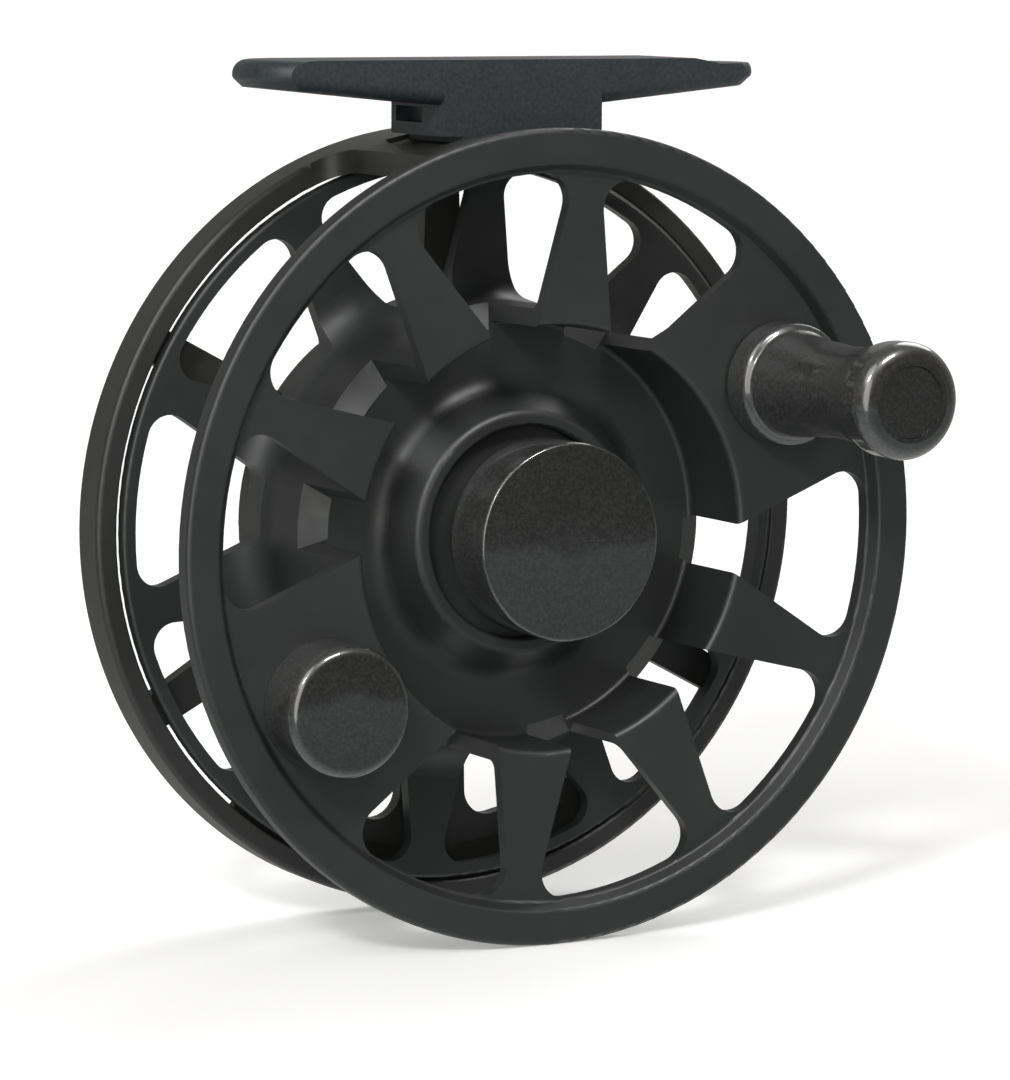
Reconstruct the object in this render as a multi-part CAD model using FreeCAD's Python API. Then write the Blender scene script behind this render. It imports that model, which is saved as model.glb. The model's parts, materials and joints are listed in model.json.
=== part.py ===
"""Fly reel: a caged half-frame on a rod foot, a ported spool, a sealed disc drag and a clicker.

Everything is drawn about the spool axis, which runs along Y. y = 0 is the front face of the
spool's rim and y grows towards the back plate. Each part is moved by SEAT at the end, so that
the origin of the finished model is on the foot's seat face, straight above the spool axis and
at the middle of the foot's width, with +Z out of the seat.
"""
import FreeCAD, Part

import math
import os

from FreeCAD import Vector

# ---- driving dimensions, millimetres and degrees ----
RIM_R = 44.5              # spool front rim, outside
RIM_INNER_R = 40.7
RIM_T = 2.4
ARM_FRONT_Y = 1.35        # the arms are set back from the rim's face
ARM_BACK_Y = 2.85
FRONT_WINDOW_R = 39.7
ARBOR_R = 25.0
ARBOR_BORE_R = 23.2
ARBOR_FILLET = 4.5
WEB_FRONT_Y = 12.1
WEB_BACK_Y = 14.1
FLANGE_R = 41.0           # spool rear flange
FLANGE_FRONT_Y = 24.2
FLANGE_BACK_Y = 25.9
FLANGE_WINDOW_R = 39.5
FLANGE_WINDOW_INNER_R = 25.6

WINDOW_COUNT = 10         # window positions round a flange
SPOKE_ANGLE = 30.4        # middle of the handle's arm, from +X towards +Z
HANDLE_ANGLE = 29.9       # the post's hole, a little below the middle of that arm
WEIGHT_ANGLE = 210.4
SPOKE_HALF_IN = 4.35      # spoke half width at SPOKE_R_IN, tapering to SPOKE_HALF_OUT
SPOKE_R_IN = 23.9
SPOKE_HALF_OUT = 2.1
SPOKE_R_OUT = 36.5
KNOB_PITCH_R = 32.3       # handle and counterweight, from the spool axis

RING_R = 43.9             # frame ring
RING_BORE_R = 41.45
RING_FRONT_Y = 24.7
FRAME_BACK_Y = 30.0
PLATE_FRONT_Y = 28.2
FRAME_SPOKES = 6
LOWER_BAND_R = 35.4       # inner edge of the wide lower part of the back plate
LOWER_STEP_R = 38.0       # its face steps back outside this radius
BOSS_R = 24.5
BOSS_BACK_Y = 30.4
BAR_HALF_W = 14.15        # the bridge that carries the foot
BAR_FRONT_Y = 3.4

SEAT_Z = 51.65            # foot seat face above the spool axis
FOOT_X = -0.5             # middle of the foot
FOOT_Y = 14.55
FOOT_LENGTH = 62.3
FOOT_HALF_W = 6.35
FOOT_NOSE_R = 8.0         # ends of the foot in plan
FOOT_NOSE_EDGE_R = 1.6    # rounding over the top of the ends
FOOT_ROOT_T = 4.9         # foot thickness at the pedestal and at the tips
FOOT_TIP_T = 2.8
PEDESTAL_HALF_L = 9.7
POCKET_R = 43.4           # floor of the shallow pocket under the pedestal

SPINDLE_R = 3.0
RUN = 0.05                # radial running clearance
CUP_R = 21.0              # drag housing
CUP_BORE_R = 19.0
CUP_FRONT_Y = 18.6
FLOOR_Y = 28.0
HUB_BORE_R = 6.0          # seat of the bearing and the roller clutch
ROTOR_TUBE_R = 4.0
CAP_R = 10.8
CAP_FRONT_Y = -2.6
CLICK_TEETH = 36
CLICK_PIVOT = Vector(-7.5, 0, 12.9)
THRUST_PIN_R = 0.9
THRUST_PIN_PITCH_R = 8.2
FOOT_SCREW_Y = (FOOT_Y - 3.4, FOOT_Y + 3.4)

SEAT = Vector(0, -FOOT_Y, -SEAT_Z)
ALONG = Vector(0, 1, 0)
ORIGIN = Vector(0, 0, 0)


# ---- drawing helpers ----
def polar(radius, degrees, y=0.0):
    """A point at an angle round the spool axis, measured from +X towards +Z."""
    angle = math.radians(degrees)
    return Vector(radius * math.cos(angle), y, radius * math.sin(angle))


def turn(shape, degrees):
    """A copy turned round the spool axis from +X towards +Z."""
    copy = shape.copy()
    copy.rotate(ORIGIN, ALONG, -degrees)
    return copy


def ring_of(shape, count, start=0.0):
    return [turn(shape, start + k * 360.0 / count) for k in range(count)]


def disc(radius, y0, y1, centre=ORIGIN):
    return Part.makeCylinder(radius, y1 - y0, Vector(centre.x, y0, centre.z), ALONG)


def collar(outer, inner, y0, y1, centre=ORIGIN):
    return disc(outer, y0, y1, centre).cut(disc(inner, y0 - 1, y1 + 1, centre))


def outline(corners, place):
    """A closed wire through (a, b) or (a, b, radius) corners; the radius rounds that corner."""
    count = len(corners)
    starts, ends, edges = [], [], []
    for k, corner in enumerate(corners):
        here = Vector(corner[0], corner[1], 0)
        before = Vector(corners[k - 1][0], corners[k - 1][1], 0) - here
        after = Vector(corners[(k + 1) % count][0], corners[(k + 1) % count][1], 0) - here
        before.normalize()
        after.normalize()
        radius = corner[2] if len(corner) > 2 else 0.0
        if radius == 0.0:
            starts.append(place(here.x, here.y))
            ends.append(place(here.x, here.y))
            continue
        half = before.getAngle(after) / 2.0
        reach = radius / math.tan(half)
        middle = before + after
        middle.normalize()
        crown = here + middle * (radius / math.sin(half) - radius)
        first, last = here + before * reach, here + after * reach
        starts.append(place(first.x, first.y))
        ends.append(place(last.x, last.y))
        edges.append(Part.Arc(starts[-1], place(crown.x, crown.y), ends[-1]).toShape())
    for k in range(count):
        if ends[k - 1].distanceToPoint(starts[k]) > 1e-6:
            edges.append(Part.makeLine(ends[k - 1], starts[k]))
    return Part.Wire(Part.__sortEdges__(edges))


def turned(corners, centre=ORIGIN):
    """A solid turned about the Y line through centre from (radius, y) corners."""
    wire = outline(corners, lambda a, b: Vector(a, b, 0))
    solid = Part.Face(wire).revolve(ORIGIN, ALONG, 360)
    solid.translate(Vector(centre.x, 0, centre.z))
    return solid


def turned_up(corners, centre):
    """A solid turned about the vertical line through centre from (radius, z) corners."""
    wire = outline(corners, lambda a, b: Vector(centre.x + a, centre.y, b))
    return Part.Face(wire).revolve(centre, Vector(0, 0, 1), 360)


def prism(corners, y0, y1):
    """A solid with an (x, z) outline, drawn out along Y."""
    wire = outline(corners, lambda a, b: Vector(a, y0, b))
    return Part.Face(wire).extrude(Vector(0, y1 - y0, 0))


def tower(corners, z0, z1):
    """A solid with an (x, y) outline, drawn out along Z."""
    wire = outline(corners, lambda a, b: Vector(a, b, z0))
    return Part.Face(wire).extrude(Vector(0, 0, z1 - z0))


def fuse(first, *others):
    return first.fuse(list(others)).removeSplitter()


def save(name, shape):
    placed = shape.copy()
    placed.translate(SEAT)
    solids = placed.Solids
    if not placed.isValid() or not solids:
        raise RuntimeError(name + " is not a valid solid")
    placed = solids[0] if len(solids) == 1 else Part.makeCompound(solids)
    placed.exportStep(os.path.join("parts", name + ".step"))
    print("%-22s solids %d  volume %9.1f mm3" % (name, len(solids), placed.Volume))


# ---- spool ----
def spoke_half(radius):
    slope = (SPOKE_HALF_IN - SPOKE_HALF_OUT) / (SPOKE_R_OUT - SPOKE_R_IN)
    return SPOKE_HALF_IN - slope * (radius - SPOKE_R_IN)


def window(inner_r, outer_r, corner, inner_corner, y0, y1):
    """The gap between two spokes, centred on +X, with its corners rounded."""
    half_pitch = 180.0 / WINDOW_COUNT
    sides = []
    for side in (-1, 1):
        for radius in (inner_r - 3.0, outer_r + 6.0):
            along = polar(radius, side * half_pitch)
            across = polar(spoke_half(radius), side * (half_pitch - 90.0))
            sides.append((along.x + across.x, along.z + across.z))
    wedge = prism([sides[0], sides[1], sides[3], sides[2]], y0, y1)
    gap = wedge.common(collar(outer_r, inner_r, y0, y1))
    groups = ((corner, outer_r), (inner_corner, inner_r))
    for radius, at_r in groups:
        picked = [edge for edge in gap.Edges
                  if len(edge.Vertexes) == 2
                  and abs(edge.Vertexes[0].X - edge.Vertexes[1].X) < 1e-6
                  and abs(edge.Vertexes[0].Z - edge.Vertexes[1].Z) < 1e-6
                  and abs(math.hypot(edge.Vertexes[0].X, edge.Vertexes[0].Z) - at_r) < 0.05]
        if radius:
            gap = gap.makeFillet(radius, picked)
    return gap


def front_window():
    """Opens the front flange and the arbor wall, and bevels the web where it shows."""
    inner_r = 19.0
    bevel_r = 22.2
    gap = window(inner_r, FRONT_WINDOW_R, 3.0, 0.0, -2.0, 15.0)
    reach = turned([(inner_r - 1, -3), (inner_r - 1, WEB_FRONT_Y), (bevel_r, WEB_FRONT_Y),
                    (ARBOR_R + 0.3, 14.0), (RIM_R, 14.0), (RIM_R, -3)])
    return gap.common(reach)


def spool():
    body = turned([
        (HUB_BORE_R, 6.0), (8.6, 6.0, 0.4), (8.6, 9.9), (11.7, 9.9), (11.7, 8.0, 0.4),
        (13.3, 8.0, 1.0), (16.2, WEB_FRONT_Y, 2.5),
        (ARBOR_BORE_R, WEB_FRONT_Y, 0.6), (ARBOR_BORE_R, ARM_FRONT_Y, 0.7),
        (39.9, ARM_FRONT_Y, 0.4), (RIM_INNER_R, 0, 0.5), (RIM_R, 0, 0.55), (RIM_R, RIM_T, 0.4),
        (40.8, RIM_T, 0.4), (40.2, ARM_BACK_Y, 0.3), (ARBOR_R, ARM_BACK_Y, 1.0),
        (ARBOR_R, FLANGE_FRONT_Y, ARBOR_FILLET), (FLANGE_R, FLANGE_FRONT_Y, 0.4),
        (FLANGE_R, FLANGE_BACK_Y, 0.4),
        (ARBOR_BORE_R, FLANGE_BACK_Y, 0.4), (ARBOR_BORE_R, WEB_BACK_Y, 0.8),
        (9.6, WEB_BACK_Y), (9.6, 15.6), (8.4, 15.6), (8.4, 19.4), (4.6, 19.4),
        (4.6, 18.8), (HUB_BORE_R, 18.8)])
    groove = collar(HUB_BORE_R + 0.45, 5.0, 6.5, 7.1)
    cutters = [groove]
    front = front_window()
    back = window(FLANGE_WINDOW_INNER_R, FLANGE_WINDOW_R, 2.6, 1.4, 18.0, 28.0)
    for k in range(WINDOW_COUNT):
        angle = SPOKE_ANGLE + k * 360.0 / WINDOW_COUNT
        cutters.append(turn(back, angle))
        if k not in (0, WINDOW_COUNT // 2):
            cutters.append(turn(front, angle))
    for angle in (HANDLE_ANGLE, WEIGHT_ANGLE):
        cutters.append(disc(1.5, 0, 4, polar(KNOB_PITCH_R, angle)))
    return body.cut(cutters)


def click_gear():
    """Ratchet ring on the back of the spool hub, with a tooth space facing the pawl."""
    tip_r, root_r = 11.4, 10.6
    step = 360.0 / CLICK_TEETH
    points = []
    for k in range(CLICK_TEETH):
        for radius, part_of_step in ((root_r, 0.0), (tip_r, 0.42), (tip_r, 0.58)):
            spot = polar(radius, 90 + (k + part_of_step) * step)
            points.append((spot.x, spot.z))
    return prism(points, 15.6, 16.8).cut(disc(8.4, 15, 18))


def handle_post():
    centre = polar(KNOB_PITCH_R, HANDLE_ANGLE)
    shaft = disc(2.0, -20.8, ARM_FRONT_Y, centre)
    head = disc(2.9, -22.0, -20.8, centre)
    thread = disc(0.9, ARM_FRONT_Y - 5.0, ARM_FRONT_Y, centre)
    return fuse(shaft, head).cut(thread)


def arm_screw(tip_y, centre, thread_r):
    """Pan head screw through the back of an arm."""
    head = turned([(0, ARM_BACK_Y), (2.9, ARM_BACK_Y), (2.9, ARM_BACK_Y + 1.4, 0.5),
                   (0, ARM_BACK_Y + 1.4)], centre)
    shank = disc(1.5, ARM_FRONT_Y, ARM_BACK_Y, centre)
    tip = disc(thread_r, tip_y, ARM_FRONT_Y, centre)
    socket = disc(0.9, ARM_BACK_Y + 0.5, ARM_BACK_Y + 2, centre)
    return fuse(head, shank, tip).cut(socket)


def counterweight():
    centre = polar(KNOB_PITCH_R, WEIGHT_ANGLE)
    body = turned([(0, ARM_FRONT_Y), (7.1, ARM_FRONT_Y, 0.15), (7.1, -5.3, 1.1),
                   (3.6, -5.6, 50.0), (0, -5.6)], centre)
    return body.cut(disc(1.5, -3.0, ARM_FRONT_Y, centre))


# ---- handle ----
def handle_knob():
    """Flanged hourglass grip with a bore for its bush and a counterbore for the post's head."""
    centre = polar(KNOB_PITCH_R, HANDLE_ANGLE)
    grip = turned([(0, 1.05), (6.8, 1.05, 0.2), (6.8, -2.2, 0.9), (5.9, -2.7, 0.5),
                   (5.4, -7.0, 8.0), (5.0, -13.7, 30.0), (5.35, -18.2, 12.0), (6.3, -21.9, 5.0),
                   (6.4, -25.6, 1.8), (4.4, -26.1), (0, -26.1)], centre)
    bore = disc(3.0, -20.2, 2, centre)
    pocket = disc(3.9, -27, -20.2, centre)
    return grip.cut([bore, pocket])


def handle_end_plug():
    centre = polar(KNOB_PITCH_R, HANDLE_ANGLE)
    return turned([(0, -23.6), (3.9, -23.6), (3.9, -25.9, 0.15), (0, -25.9)], centre)


# ---- frame ----
def frame_spoke():
    """One spoke of the back plate, drawn along +X."""
    inner_r, outer_r = 22.0, 42.6
    flat = [(inner_r, -2.6), (outer_r, -1.9), (outer_r, 1.9), (inner_r, 2.6)]
    return prism(flat, PLATE_FRONT_Y, FRAME_BACK_Y)


def lower_band():
    """Wide lower part of the back plate, with a broad spoke flared into it."""
    start, end = 231.0, 305.0
    spread = [polar(60, angle) for angle in (start, (start + end) / 2.0, end)]
    wedge = prism([(0, 0)] + [(spot.x, spot.z) for spot in spread], 27, 31)
    band = collar(42.6, LOWER_BAND_R, PLATE_FRONT_Y, FRAME_BACK_Y).common(wedge)
    ends = [edge for edge in band.Edges
            if abs(edge.CenterOfMass.y - (PLATE_FRONT_Y + FRAME_BACK_Y) / 2.0) < 0.01
            and math.hypot(edge.CenterOfMass.x, edge.CenterOfMass.z) < LOWER_BAND_R + 1]
    band = band.makeFillet(2.5, ends)
    spoke = prism([(-4.8, -22), (-5.2, -36.5), (3.2, -36.5), (3.0, -22)],
                  PLATE_FRONT_Y, FRAME_BACK_Y)
    body = fuse(band, spoke)
    roots = [edge for edge in body.Edges
             if abs(edge.CenterOfMass.y - (PLATE_FRONT_Y + FRAME_BACK_Y) / 2.0) < 0.01
             and abs(edge.CenterOfMass.x) < 7
             and abs(math.hypot(edge.CenterOfMass.x, edge.CenterOfMass.z) - LOWER_BAND_R) < 0.05]
    body = body.makeFillet(3.0, roots)
    return body.cut(collar(50, LOWER_STEP_R, PLATE_FRONT_Y - 1, PLATE_FRONT_Y + 0.4))


def bridge():
    """Curved bar from the ring's front edge forward over the spool, flared where it leaves."""
    shell = collar(RING_R, RING_BORE_R, BAR_FRONT_Y, 26.0)
    flare = 3.6
    plan = [(-BAR_HALF_W, BAR_FRONT_Y, 1.5), (BAR_HALF_W, BAR_FRONT_Y, 1.5),
            (BAR_HALF_W, RING_FRONT_Y, flare), (18.2, RING_FRONT_Y), (20.5, 25.6), (20.5, 27.0),
            (-20.5, 27.0), (-20.5, 25.6), (-18.2, RING_FRONT_Y),
            (-BAR_HALF_W, RING_FRONT_Y, flare)]
    bar = shell.common(tower(plan, 20, 60))
    pocket_plan = [(-13.0, 7.4, 0.8), (13.0, 7.4, 0.8), (13.0, 11.4), (10.3, 21.4, 0.8),
                   (-10.3, 21.4, 0.8), (-13.0, 11.4)]
    pocket_wall = tower(pocket_plan, 20, 60)
    pocket_wall.translate(Vector(FOOT_X, 0, 0))
    pocket = collar(RING_R + 1, POCKET_R, 0, 30).common(pocket_wall)
    screws = [Part.makeCylinder(1.5, 10, Vector(FOOT_X, y, 38), Vector(0, 0, 1))
              for y in FOOT_SCREW_Y]
    sinks = [Part.makeCone(3.2, 1.5, 1.7, Vector(FOOT_X, y, RING_BORE_R - 0.3),
                           Vector(0, 0, 1)) for y in FOOT_SCREW_Y]
    return bar.cut([pocket] + screws + sinks)


def frame():
    ring = turned([(RING_BORE_R, RING_FRONT_Y, 0.3), (RING_R, RING_FRONT_Y, 0.6),
                   (RING_R, FRAME_BACK_Y, 0.7), (RING_BORE_R, FRAME_BACK_Y, 0.3)])
    cup = turned([
        (SPINDLE_R, FLOOR_Y), (CUP_BORE_R, FLOOR_Y), (CUP_BORE_R, 20.0), (CUP_BORE_R + 0.6, 20.0),
        (CUP_BORE_R + 0.6, 19.3), (CUP_BORE_R, 19.3), (CUP_BORE_R, CUP_FRONT_Y, 0.2),
        (CUP_R, CUP_FRONT_Y, 0.5), (CUP_R, PLATE_FRONT_Y, 0.5), (BOSS_R, PLATE_FRONT_Y),
        (BOSS_R, BOSS_BACK_Y, 0.6), (11.2, BOSS_BACK_Y, 0.2), (11.2, 29.6), (5.6, 29.6),
        (5.0, 30.0), (5.0, 34.6, 0.3), (SPINDLE_R, 34.6)])
    pins = ring_of(disc(THRUST_PIN_R + RUN, 27, 31, polar(THRUST_PIN_PITCH_R, 0)), 3, 90)
    body = fuse(ring, bridge(), cup, lower_band(), *ring_of(frame_spoke(), FRAME_SPOKES, 90))
    return body.cut(pins)


def foot_wing(side):
    """One end of the foot: flat on top, its round-edged underside ramping up to the tip."""
    front, back = FOOT_Y - FOOT_HALF_W, FOOT_Y + FOOT_HALF_W
    root_z = SEAT_Z - FOOT_ROOT_T
    section = outline([(front, root_z + 9), (back, root_z + 9), (back, root_z, 1.5),
                       (front, root_z, 1.5)],
                      lambda a, b: Vector(side * PEDESTAL_HALF_L, a, b))
    run = FOOT_LENGTH / 2.0 - PEDESTAL_HALF_L
    return Part.Face(section).extrude(Vector(side * run, 0, FOOT_ROOT_T - FOOT_TIP_T))


def foot_end(blank, side, top):
    """Trims a wing to its top line, and rounds its end in plan, over the top and under."""
    end = side * FOOT_LENGTH / 2.0
    low_z = SEAT_Z - FOOT_ROOT_T
    side_view = prism([(0, low_z), (end, low_z), (end, top[0][1])] + top, 0, 30)
    middle = Vector(end - side * FOOT_NOSE_R, FOOT_Y, 0)
    nose = turned_up([(0, low_z), (FOOT_NOSE_R - 2.1, low_z + 1.0),
                      (FOOT_NOSE_R, SEAT_Z - 1.95, 0.6),
                      (FOOT_NOSE_R, SEAT_Z, FOOT_NOSE_EDGE_R), (0, SEAT_Z)], middle)
    rest = tower([(0, 0), (middle.x, 0), (middle.x, 30), (0, 30)], low_z - 1, SEAT_Z)
    return blank.common(side_view).common(fuse(nose, rest))


def reel_foot():
    """Seat plate with rounded ends, on a pedestal that drops into the bridge's pocket."""
    front, back = FOOT_Y - FOOT_HALF_W, FOOT_Y + FOOT_HALF_W
    step_z = SEAT_Z - 0.6
    left = foot_end(foot_wing(-1), -1, [(-20, SEAT_Z), (0, SEAT_Z)])
    right = foot_end(foot_wing(1), 1, [(24.7, step_z), (21.5, SEAT_Z), (0, SEAT_Z)])
    pedestal = Part.makeBox(2 * PEDESTAL_HALF_L, back - front, SEAT_Z - 40,
                            Vector(-PEDESTAL_HALF_L, front, 40))
    body = fuse(pedestal, left, right)
    deep = 1.5
    recess = [Part.makeBox(deep, 6.2, 1.7, Vector(x, FOOT_Y - 1.0, SEAT_Z - 6.9))
              for x in (-PEDESTAL_HALF_L, PEDESTAL_HALF_L - deep)]
    relief_x = 7.5
    relief = [Part.makeBox(5, 20, 5, Vector(x, front - 2, POCKET_R - 5))
              for x in (-relief_x - 5, relief_x)]
    holes = [Part.makeCylinder(1.5, 6.6, Vector(0, y, 42), Vector(0, 0, 1)) for y in FOOT_SCREW_Y]
    body = body.cut(recess + relief + holes)
    body.translate(Vector(FOOT_X, 0, 0))
    return body.cut(disc(POCKET_R, 0, 30))


def foot_screws():
    """Two countersunk screws up through the bridge into the pedestal."""
    top = 48.4
    screws = []
    for y in FOOT_SCREW_Y:
        foot = Vector(FOOT_X, y, RING_BORE_R + 0.1)
        head = Part.makeCone(2.8, 1.5, 1.3, foot, Vector(0, 0, 1))
        shank = Part.makeCylinder(1.5, top - foot.z, foot, Vector(0, 0, 1))
        socket = Part.makeCylinder(0.9, 1.2, foot - Vector(0, 0, 0.1), Vector(0, 0, 1))
        screws.append(fuse(head, shank).cut(socket))
    return Part.makeCompound(screws)


# ---- drag ----
def spindle():
    return turned([(0, 0.6), (SPINDLE_R, 0.6, 0.4), (SPINDLE_R, 34.2, 0.4), (0, 34.2)])


def drag_rotor():
    """Flanged hub that the discs grip; its tube is the roller clutch's inner race."""
    return turned([(3.5, 10.8), (ROTOR_TUBE_R, 10.8, 0.2), (ROTOR_TUBE_R, 22.5), (17.8, 22.5),
                   (17.8, 24.1), (5.5, 24.1), (5.5, 26.2), (3.5, 26.2)])


def drag_thrust_plate():
    """Steel plate keyed to the cup by the three thrust pins that stand in it."""
    return collar(18.5, 6.5, 25.5, 26.5)


def drag_springs():
    """Two Belleville washers, back to back, behind the thrust plate."""
    first = turned([(6.6, 26.5), (7.2, 26.5), (11.2, 26.78), (11.2, 27.0), (10.6, 27.0),
                    (6.6, 26.72)])
    second = turned([(6.6, 27.5), (7.2, 27.5), (11.2, 27.22), (11.2, 27.0), (10.6, 27.0),
                     (6.6, 27.28)])
    return Part.makeCompound([first, second])


def thrust_pins():
    return Part.makeCompound(ring_of(disc(THRUST_PIN_R, 27.5, 30.5,
                                          polar(THRUST_PIN_PITCH_R, 0)), 3, 90))


def thrust_ring():
    return collar(10.6, 6.1, 30.5, 31.5)


def drag_knob():
    """Adjuster at the back, scalloped for grip, tapped to run on the frame's rear tube."""
    body = turned([(5.0 + RUN, 31.55), (13.6, 31.55, 0.6), (13.6, 37.2, 1.2), (10.9, 37.2),
                   (10.9, 36.4), (5.0 + RUN, 36.4)])
    scallop = disc(2.2, 30, 40, polar(15.2, 0))
    return body.cut(ring_of(scallop, 12))


def click_pawl():
    """Hooked pawl whose nose drops straight into a tooth space of the click gear."""
    nose_z = 10.75
    pivot = CLICK_PIVOT
    profile = [(0, nose_z, 0.12), (0.7, nose_z + 1.5), (0.7, pivot.z + 0.9, 0.4),
               (pivot.x, pivot.z + 1.5, 1.2), (pivot.x - 1.4, pivot.z, 1.0),
               (pivot.x, pivot.z - 1.2, 0.8), (-0.7, nose_z + 1.5)]
    return prism(profile, 16.0, 16.7).cut(disc(0.8 + RUN, 15, 18, pivot))


def click_pivot():
    return fuse(disc(0.8, 15.7, 21.0, CLICK_PIVOT), disc(1.3, 15.3, 15.7, CLICK_PIVOT))


def click_spring():
    """Leaf spring from a post on the cover, reaching over the back of the pawl."""
    post = Vector(-10.6, 0, 12.4)
    rise = CLICK_PIVOT.z + 2.3
    nip = CLICK_PIVOT.z + 1.35
    thick = 0.2
    leaf = [(post.x, post.z), (-9.6, rise - 0.2), (-2.4, rise), (-0.2, nip), (-0.2, nip + thick),
            (-2.4, rise + thick), (-9.8, rise), (post.x - 0.2, post.z)]
    return fuse(prism(leaf, 16.1, 16.6), disc(0.9, 16.1, 20.0, post))


def drag_cover():
    """Closes the cup: the front disc bears on it, and the clicker is mounted on its face."""
    plate = collar(CUP_BORE_R, 5.4, 20.0, 21.6)
    return plate.cut(disc(0.8, 19, 21.0, CLICK_PIVOT))


def cover_circlip():
    clip = collar(CUP_BORE_R + 0.55, 17.5, 19.35, 20.0)
    return clip.cut(prism([(15, -2), (21, -2), (21, 2), (15, 2)], 19, 21))


# ---- spool cap ----
def spool_cap():
    """Knob that screws on the spindle's nose and holds the spool on."""
    return turned([(SPINDLE_R + RUN, 5.0), (5.4, 5.0), (5.4, -0.9), (9.5, -0.9), (9.5, 5.3, 0.3),
                   (CAP_R, 5.3, 0.4), (CAP_R, CAP_FRONT_Y + 0.45, 0.35),
                   (5.4, CAP_FRONT_Y, 100.0), (0, CAP_FRONT_Y),
                   (0, 0.1), (SPINDLE_R + RUN, 0.1)])


def build():
    os.makedirs("parts", exist_ok=True)
    handle_spot = polar(KNOB_PITCH_R, HANDLE_ANGLE)
    weight_spot = polar(KNOB_PITCH_R, WEIGHT_ANGLE)

    save("frame", frame())
    save("reel_foot", reel_foot())
    save("foot_screws", foot_screws())
    save("spindle", spindle())
    save("drag_cover", drag_cover())
    save("drag_seal", collar(5.4, ROTOR_TUBE_R + RUN, 20.4, 21.4))
    save("cover_circlip", cover_circlip())
    save("click_pivot", click_pivot())
    save("click_spring", click_spring())
    save("click_pawl", click_pawl())

    save("drag_rotor", drag_rotor())
    save("rotor_bush", collar(3.5, SPINDLE_R + RUN, 10.8, 26.2))
    save("drag_disc_front", collar(17.6, 7.5, 21.65, 22.5))
    save("drag_disc_rear", collar(17.6, 7.5, 24.1, 24.9))

    save("drag_thrust_plate", drag_thrust_plate())
    save("drag_springs", drag_springs())
    save("thrust_pins", thrust_pins())
    save("thrust_ring", thrust_ring())
    save("drag_knob", drag_knob())
    save("knob_cover", turned([(0, 36.4), (10.9, 36.4), (10.9, 37.2, 0.2), (0, 37.4)]))

    save("spool", spool())
    save("spool_bearing", collar(HUB_BORE_R, SPINDLE_R + RUN, 7.1, 10.6))
    save("hub_circlip", collar(HUB_BORE_R + 0.4, 4.9, 6.5, 7.1))
    save("roller_clutch", collar(HUB_BORE_R, ROTOR_TUBE_R + RUN, 11.2, 18.8))
    save("click_gear", click_gear())
    save("counterweight", counterweight())
    save("counterweight_screw", arm_screw(-3.0, weight_spot, 1.5))
    save("handle_post", handle_post())
    save("handle_screw", arm_screw(ARM_FRONT_Y - 4.8, handle_spot, 0.9))
    save("handle_washer", collar(3.6, 2.0, 1.1, ARM_FRONT_Y, handle_spot))

    save("handle_knob", handle_knob())
    save("handle_bush", collar(3.0, 2.0 + RUN, -20.2, 1.0, handle_spot))
    save("handle_end_plug", handle_end_plug())

    save("cap_washer", collar(5.6, SPINDLE_R + RUN, 5.0, 5.8))
    save("spool_cap", spool_cap())


build()
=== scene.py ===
"""Finishes, floor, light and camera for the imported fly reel."""

import json
import math

import bpy
from mathutils import Matrix, Vector


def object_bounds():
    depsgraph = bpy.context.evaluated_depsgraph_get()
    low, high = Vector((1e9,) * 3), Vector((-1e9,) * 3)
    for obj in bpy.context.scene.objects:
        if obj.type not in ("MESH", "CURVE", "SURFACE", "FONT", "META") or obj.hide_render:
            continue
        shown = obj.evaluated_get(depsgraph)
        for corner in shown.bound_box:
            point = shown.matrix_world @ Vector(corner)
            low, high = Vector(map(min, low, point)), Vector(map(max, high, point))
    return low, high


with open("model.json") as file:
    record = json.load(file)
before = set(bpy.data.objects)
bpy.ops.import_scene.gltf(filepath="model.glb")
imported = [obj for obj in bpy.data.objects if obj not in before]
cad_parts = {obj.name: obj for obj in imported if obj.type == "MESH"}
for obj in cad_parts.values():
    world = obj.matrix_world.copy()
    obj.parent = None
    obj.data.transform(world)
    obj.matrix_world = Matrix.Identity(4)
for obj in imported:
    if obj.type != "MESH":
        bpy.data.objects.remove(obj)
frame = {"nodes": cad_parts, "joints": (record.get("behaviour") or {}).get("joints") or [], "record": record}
cad_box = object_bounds()
scene = bpy.context.scene
MM = 0.001

# The spool spins about a line along Y, through the middle of its front rim's face.
spool_spin = next(joint for joint in frame["joints"] if joint["name"] == "spool_spin")
RIM_CENTRE = Vector(spool_spin["pos_m"])
FLOOR_Z = cad_box[0].z

# The camera stands on the handle side, off to -X. Angles are in degrees, the offset is from the rim.
VIEW_AZIMUTH = -28.16
VIEW_ELEVATION = 6.96
CAMERA_OFFSET = Vector((-266.38, -484.73, 67.55)) * MM
CAMERA_LEAN = -0.4
SENSOR_HEIGHT = 36.0
LENS = 171.6

# A round stage, in metres, small enough that a camera on any side still reaches the wall.
STAGE_RADIUS = 4.5
WALL_TOP = 4.5
STAGE_SIDES = 48
FLOOR_GLOW = 0.24
WALL_GLOW = 1.3

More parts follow.
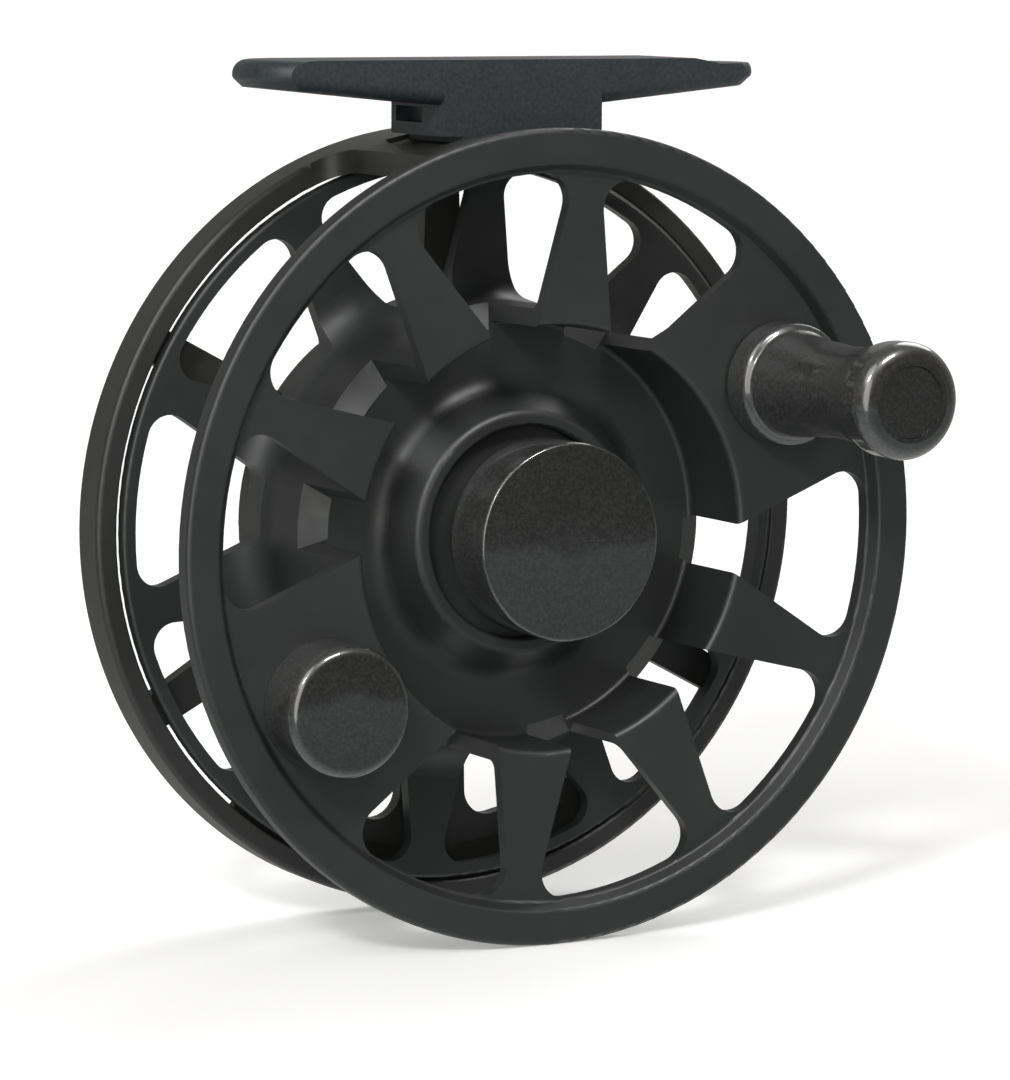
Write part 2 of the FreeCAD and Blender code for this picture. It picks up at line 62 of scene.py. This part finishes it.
# The studio's light as (height, colour) stops, from -1 straight down to 1 straight up.
STUDIO_STRENGTH = 0.9
STUDIO_FRONT = [
    (-1.0, (1.10, 1.12, 1.12)),
    (-0.60, (0.85, 0.90, 0.91)),
    (-0.30, (0.38, 0.42, 0.43)),
    (-0.132, (0.66, 0.70, 0.71)),
    (-0.116, (0.12, 0.11, 0.10)),
    (0.35, (0.26, 0.24, 0.22)),
    (0.75, (0.34, 0.33, 0.32)),
    (1.0, (0.34, 0.33, 0.32)),
]
STUDIO_REAR = [
    (-1.0, (1.10, 1.08, 1.06)),
    (-0.60, (0.90, 0.89, 0.87)),
    (-0.35, (0.55, 0.54, 0.52)),
    (-0.05, (0.50, 0.49, 0.48)),
    (0.10, (0.40, 0.40, 0.39)),
    (1.0, (0.34, 0.33, 0.32)),
]

# A Mix node's sockets when it blends colours.
MIX_SHARE, MIX_FIRST, MIX_SECOND = 0, 6, 7
MIX_RESULT = 2


# ---- node helpers ----
def new_material(name):
    made = bpy.data.materials.new(name)
    made.use_nodes = True
    tree = made.node_tree
    shader = tree.nodes["Principled BSDF"]
    return made, tree, shader


def add(tree, kind, **values):
    """A new node; each value goes to the input of that name, or else to the setting."""
    node = tree.nodes.new(kind)
    for key, value in values.items():
        if key in node.inputs:
            node.inputs[key].default_value = value
        else:
            setattr(node, key, value)
    return node


def noise(tree, scale, detail=3.0, rough=0.55):
    """Noise fixed to the piece, with scale in cells per metre."""
    place = add(tree, "ShaderNodeTexCoord").outputs["Object"]
    node = add(tree, "ShaderNodeTexNoise", Scale=scale, Detail=detail, Roughness=rough)
    tree.links.new(place, node.inputs["Vector"])
    return node.outputs["Fac"]


def ramp(tree, source, low, high, dark, light):
    """The dark colour up to low, the light one from high on."""
    node = add(tree, "ShaderNodeValToRGB")
    node.color_ramp.elements[0].position = low
    node.color_ramp.elements[1].position = high
    node.color_ramp.elements[0].color = (*dark, 1.0)
    node.color_ramp.elements[1].color = (*light, 1.0)
    tree.links.new(source, node.inputs["Fac"])
    return node.outputs["Color"]


def span(tree, source, low, high):
    """Maps a 0-1 value to low-high."""
    node = add(tree, "ShaderNodeMapRange")
    node.inputs["To Min"].default_value = low
    node.inputs["To Max"].default_value = high
    tree.links.new(source, node.inputs["Value"])
    return node.outputs["Result"]


def smooth_step(tree, source, start, end):
    """0 up to start, 1 from end on, and a smooth rise between them."""
    node = add(tree, "ShaderNodeMapRange", interpolation_type="SMOOTHSTEP")
    node.inputs["From Min"].default_value = start
    node.inputs["From Max"].default_value = end
    tree.links.new(source, node.inputs["Value"])
    return node.outputs["Result"]


def mix_colours(tree, share, first, second):
    """The first colour where share is 0, the second where it is 1."""
    node = add(tree, "ShaderNodeMix", data_type="RGBA")
    tree.links.new(share, node.inputs[MIX_SHARE])
    tree.links.new(first, node.inputs[MIX_FIRST])
    tree.links.new(second, node.inputs[MIX_SECOND])
    return node.outputs[MIX_RESULT]


def bump(tree, shader, height, strength, distance):
    node = add(tree, "ShaderNodeBump", Strength=strength, Distance=distance)
    tree.links.new(height, node.inputs["Height"])
    tree.links.new(node.outputs["Normal"], shader.inputs["Normal"])


# ---- finishes ----
def anodised(name, dark, light, rough_low=0.42, rough_high=0.54, grain=9000.0, drift=60.0):
    """Satin anodised aluminium: its colour drifts, and it has a fine blasted grain."""
    made, tree, shader = new_material(name)
    shader.inputs["Specular IOR Level"].default_value = 0.45
    colour = ramp(tree, noise(tree, drift, detail=4.0), 0.35, 0.68, dark, light)
    tree.links.new(colour, shader.inputs["Base Color"])
    roughness = span(tree, noise(tree, 400.0, detail=2.0), rough_low, rough_high)
    tree.links.new(roughness, shader.inputs["Roughness"])
    bump(tree, shader, noise(tree, grain, detail=2.0), strength=0.12, distance=0.02 * MM)
    return made


def gloss(name, face, sheened_flank, face_contrast=5.0, sheened_flank_contrast=2.6, mottle_scale=2600.0):
    """Gloss black with a fine mottle. The flanks get a paler colour as painted sheen, so end faces turned to
    -Y are darker than the flanks.
    """
    made, tree, shader = new_material(name)
    shader.inputs["Specular IOR Level"].default_value = 0.5
    shader.inputs["Coat Weight"].default_value = 0.8
    shader.inputs["Coat Roughness"].default_value = 0.06
    normal = add(tree, "ShaderNodeSeparateXYZ")
    tree.links.new(add(tree, "ShaderNodeTexCoord").outputs["Normal"], normal.inputs["Vector"])
    # Painted sheen mask: 0 on end faces turned to -Y, 1 on the flanks, which get the paler colour.
    painted_sheen_share = smooth_step(tree, normal.outputs["Y"], start=-0.97, end=-0.75)
    mottle = noise(tree, mottle_scale, detail=5.0, rough=0.75)
    pale_face = tuple(face_contrast * channel for channel in face)
    pale_sheened_flank = tuple(sheened_flank_contrast * channel for channel in sheened_flank)
    on_face = ramp(tree, mottle, 0.42, 0.66, face, pale_face)
    on_sheened_flank = ramp(tree, mottle, 0.42, 0.66, sheened_flank, pale_sheened_flank)
    tree.links.new(mix_colours(tree, painted_sheen_share, on_face, on_sheened_flank), shader.inputs["Base Color"])
    roughness = span(tree, noise(tree, 1500.0, detail=4.0), 0.24, 0.40)
    tree.links.new(roughness, shader.inputs["Roughness"])
    grain = noise(tree, mottle_scale, detail=4.0, rough=0.7)
    bump(tree, shader, grain, strength=0.06, distance=0.03 * MM)
    return made


def machined(name, dark, light, rough=0.28):
    """Bare metal with a fine, even cut."""
    made, tree, shader = new_material(name)
    shader.inputs["Metallic"].default_value = 1.0
    colour = ramp(tree, noise(tree, 900.0, detail=5.0), 0.35, 0.7, dark, light)
    tree.links.new(colour, shader.inputs["Base Color"])
    roughness = span(tree, noise(tree, 2500.0, detail=3.0), rough - 0.06, rough + 0.08)
    tree.links.new(roughness, shader.inputs["Roughness"])
    bump(tree, shader, noise(tree, 5000.0, detail=2.0), strength=0.08, distance=0.02 * MM)
    return made


def plain(name, dark, light, rough_low, rough_high, grain):
    """Plastic, rubber or friction material; grain is the scale of its mottle."""
    made, tree, shader = new_material(name)
    colour = ramp(tree, noise(tree, grain, detail=4.0), 0.35, 0.7, dark, light)
    tree.links.new(colour, shader.inputs["Base Color"])
    roughness = span(tree, noise(tree, grain * 2.0, detail=3.0), rough_low, rough_high)
    tree.links.new(roughness, shader.inputs["Roughness"])
    bump(tree, shader, noise(tree, grain * 3.0, detail=3.0), strength=0.15, distance=0.03 * MM)
    return made


FINISHES = {
    "spool_alloy": anodised("spool_finish", (0.0125, 0.0135, 0.0138), (0.0178, 0.0188, 0.0192)),
    "frame_alloy": anodised("frame_finish", (0.0145, 0.0150, 0.0140), (0.0195, 0.0195, 0.0184)),
    "foot_alloy": anodised("foot_finish", (0.010, 0.014, 0.016), (0.025, 0.032, 0.035),
                           rough_low=0.42, rough_high=0.56, grain=2500.0, drift=2200.0),
    "knob_alloy": anodised("knob_finish", (0.021, 0.022, 0.0215), (0.028, 0.029, 0.028)),
    # The second gloss colour is painted sheen: the flanks are made paler than the end faces.
    "gloss_black": gloss("gloss_finish", (0.0045, 0.0045, 0.0045), (0.019, 0.019, 0.0187)),
    "steel": machined("steel_finish", (0.42, 0.42, 0.43), (0.58, 0.58, 0.58)),
    "brass": machined("brass_finish", (0.45, 0.30, 0.10), (0.60, 0.43, 0.17)),
    "plain_alloy": machined("alloy_finish", (0.48, 0.48, 0.49), (0.62, 0.62, 0.63), rough=0.34),
    "acetal": plain("acetal_finish", (0.010, 0.010, 0.010), (0.016, 0.016, 0.016),
                    rough_low=0.4, rough_high=0.5, grain=800),
    "seal_rubber": plain("seal_finish", (0.008, 0.008, 0.008), (0.014, 0.014, 0.014),
                         rough_low=0.6, rough_high=0.75, grain=1200),
    "drag_carbon": plain("carbon_finish", (0.012, 0.012, 0.013), (0.03, 0.03, 0.031),
                         rough_low=0.35, rough_high=0.55, grain=1800),
}


def finish_nodes():
    for part in frame["record"]["subparts"]:
        node = frame["nodes"][part["node"]]
        node.data.materials.clear()
        node.data.materials.append(FINISHES[part["material_slot"]])


# ---- floor and backdrop ----
def paper(name, glow, albedo, unevenness=0.98):
    """Matt white paper that glows, so that it stays white where little light falls."""
    made, tree, shader = new_material(name)
    shader.inputs["Specular IOR Level"].default_value = 0.0
    shader.inputs["Roughness"].default_value = 0.95
    shader.inputs["Emission Strength"].default_value = glow
    shader.inputs["Emission Color"].default_value = (1.0, 1.0, 1.0, 1.0)
    light = (albedo, albedo, albedo)
    dark = tuple(unevenness * channel for channel in light)
    colour = ramp(tree, noise(tree, 4.0, detail=2.0), 0.3, 0.7, dark, light)
    tree.links.new(colour, shader.inputs["Base Color"])
    return made


def stage_piece(name, corners, faces, material):
    """A piece of the stage. It neither lights the reel nor shows in it; the studio does both."""
    mesh = bpy.data.meshes.new(name)
    mesh.from_pydata(corners, [], faces)
    mesh.materials.append(material)
    piece = bpy.data.objects.new(name, mesh)
    scene.collection.objects.link(piece)
    piece.visible_diffuse = False
    piece.visible_glossy = False
    piece.visible_transmission = False
    return piece


def floor_and_backdrop():
    """A white floor that takes the shadow, and a white wall all round it that lamps shine through."""
    turns = [2.0 * math.pi * k / STAGE_SIDES for k in range(STAGE_SIDES)]
    circle = [(STAGE_RADIUS * math.cos(turn), STAGE_RADIUS * math.sin(turn)) for turn in turns]
    low = [(x, y, FLOOR_Z) for x, y in circle]
    high = [(x, y, WALL_TOP) for x, y in circle]
    after = [(k + 1) % STAGE_SIDES for k in range(STAGE_SIDES)]
    wall = [(k, after[k], STAGE_SIDES + after[k], STAGE_SIDES + k) for k in range(STAGE_SIDES)]
    floor_paper = paper("floor_paper", FLOOR_GLOW, albedo=0.88)
    stage_piece("floor", low, [tuple(range(STAGE_SIDES))], floor_paper)
    wall_paper = paper("wall_paper", WALL_GLOW, albedo=0.5)
    backdrop = stage_piece("backdrop", low + high, wall, wall_paper)
    backdrop.visible_shadow = False


# ---- light ----
def direction(bearing, elevation):
    """Unit vector, in degrees: bearing from the camera's right towards the back, and elevation."""
    turn = math.radians(bearing + VIEW_AZIMUTH)
    rise = math.radians(elevation)
    level = math.cos(rise)
    return Vector((math.cos(turn) * level, math.sin(turn) * level, math.sin(rise)))


def soft_sun(name, bearing, elevation, strength, spread=34.0, colour=(1.0, 1.0, 1.0)):
    """A wide, even light from a direction, spread over so many degrees."""
    light = bpy.data.lights.new(name, "SUN")
    light.energy = strength
    light.color = colour
    light.angle = math.radians(spread)
    holder = bpy.data.objects.new(name, light)
    holder.rotation_euler = direction(bearing, elevation).to_track_quat("Z", "Y").to_euler()
    scene.collection.objects.link(holder)


def softbox(name, place, size, power, only_reflected=False):
    """A bright panel aimed at the spool axis; only_reflected makes it show as a highlight alone."""
    light = bpy.data.lights.new(name, "AREA")
    light.shape = "RECTANGLE"
    light.size, light.size_y = size
    light.energy = power
    holder = bpy.data.objects.new(name, light)
    holder.location = place
    aim = Vector((0.0, 0.0, RIM_CENTRE.z)) - Vector(place)
    holder.rotation_euler = aim.to_track_quat("-Z", "Y").to_euler()
    holder.visible_diffuse = not only_reflected
    scene.collection.objects.link(holder)


def studio_ramp(tree, height, stops):
    """Colour against height, from (height, colour) stops."""
    node = add(tree, "ShaderNodeValToRGB")
    elements = node.color_ramp.elements
    while len(elements) < len(stops):
        elements.new(0.5)
    for element, (place, colour) in zip(elements, stops):
        element.position = (place + 1.0) / 2.0
        element.color = (*colour, 1.0)
    tree.links.new(height, node.inputs["Fac"])
    return node.outputs["Color"]


def studio_gradient(tree):
    """Bright below and dim above; in front it steps down to dark just below the horizon."""
    turned = add(tree, "ShaderNodeMapping")
    turned.inputs["Rotation"].default_value[2] = -math.radians(VIEW_AZIMUTH)
    tree.links.new(add(tree, "ShaderNodeTexCoord").outputs["Generated"], turned.inputs["Vector"])
    towards = add(tree, "ShaderNodeSeparateXYZ")
    tree.links.new(turned.outputs["Vector"], towards.inputs["Vector"])
    height = add(tree, "ShaderNodeMapRange")
    height.inputs["From Min"].default_value = -1.0
    tree.links.new(towards.outputs["Z"], height.inputs["Value"])
    front = studio_ramp(tree, height.outputs["Result"], STUDIO_FRONT)
    rear = studio_ramp(tree, height.outputs["Result"], STUDIO_REAR)
    behind = smooth_step(tree, towards.outputs["Y"], start=-0.35, end=0.30)
    return mix_colours(tree, behind, front, rear)


def lighting():
    world = bpy.data.worlds.new("studio")
    scene.world = world
    world.use_nodes = True
    tree = world.node_tree
    background = tree.nodes["Background"]
    background.inputs["Strength"].default_value = STUDIO_STRENGTH
    tree.links.new(studio_gradient(tree), background.inputs["Color"])
    soft_sun("back_right", bearing=62.0, elevation=42.0, strength=1.50)
    soft_sun("front_left", bearing=242.0, elevation=42.0, strength=1.0)
    soft_sun("front_fill", bearing=262.0, elevation=6.0, strength=1.6, spread=40.0,
             colour=(1.0, 0.98, 0.96))
    softbox("window", place=(-0.55, -0.60, 0.45), size=(0.16, 0.12), power=4.2)
    softbox("upper_panel", place=(0.05, -0.60, 0.62), size=(0.26, 0.14), power=8.0,
            only_reflected=True)


# ---- camera ----
def camera():
    """Long lens from the handle side, leaning a little about the spool axis."""
    data = bpy.data.cameras.new("camera")
    data.sensor_fit = "VERTICAL"
    data.sensor_height = SENSOR_HEIGHT
    data.lens = LENS
    data.clip_start, data.clip_end = 0.05, 20.0
    holder = bpy.data.objects.new("camera", data)
    look = -direction(270.0, VIEW_ELEVATION)
    place = Matrix.Translation(RIM_CENTRE + CAMERA_OFFSET)
    upright = place @ look.to_track_quat("-Z", "Y").to_matrix().to_4x4()
    lean = Matrix.Rotation(math.radians(CAMERA_LEAN), 4, "Y")
    to_rim, from_rim = Matrix.Translation(RIM_CENTRE), Matrix.Translation(-RIM_CENTRE)
    holder.matrix_world = to_rim @ lean @ from_rim @ upright
    scene.collection.objects.link(holder)
    scene.camera = holder


finish_nodes()
floor_and_backdrop()
lighting()
camera()
scene.view_settings.view_transform = "Standard"
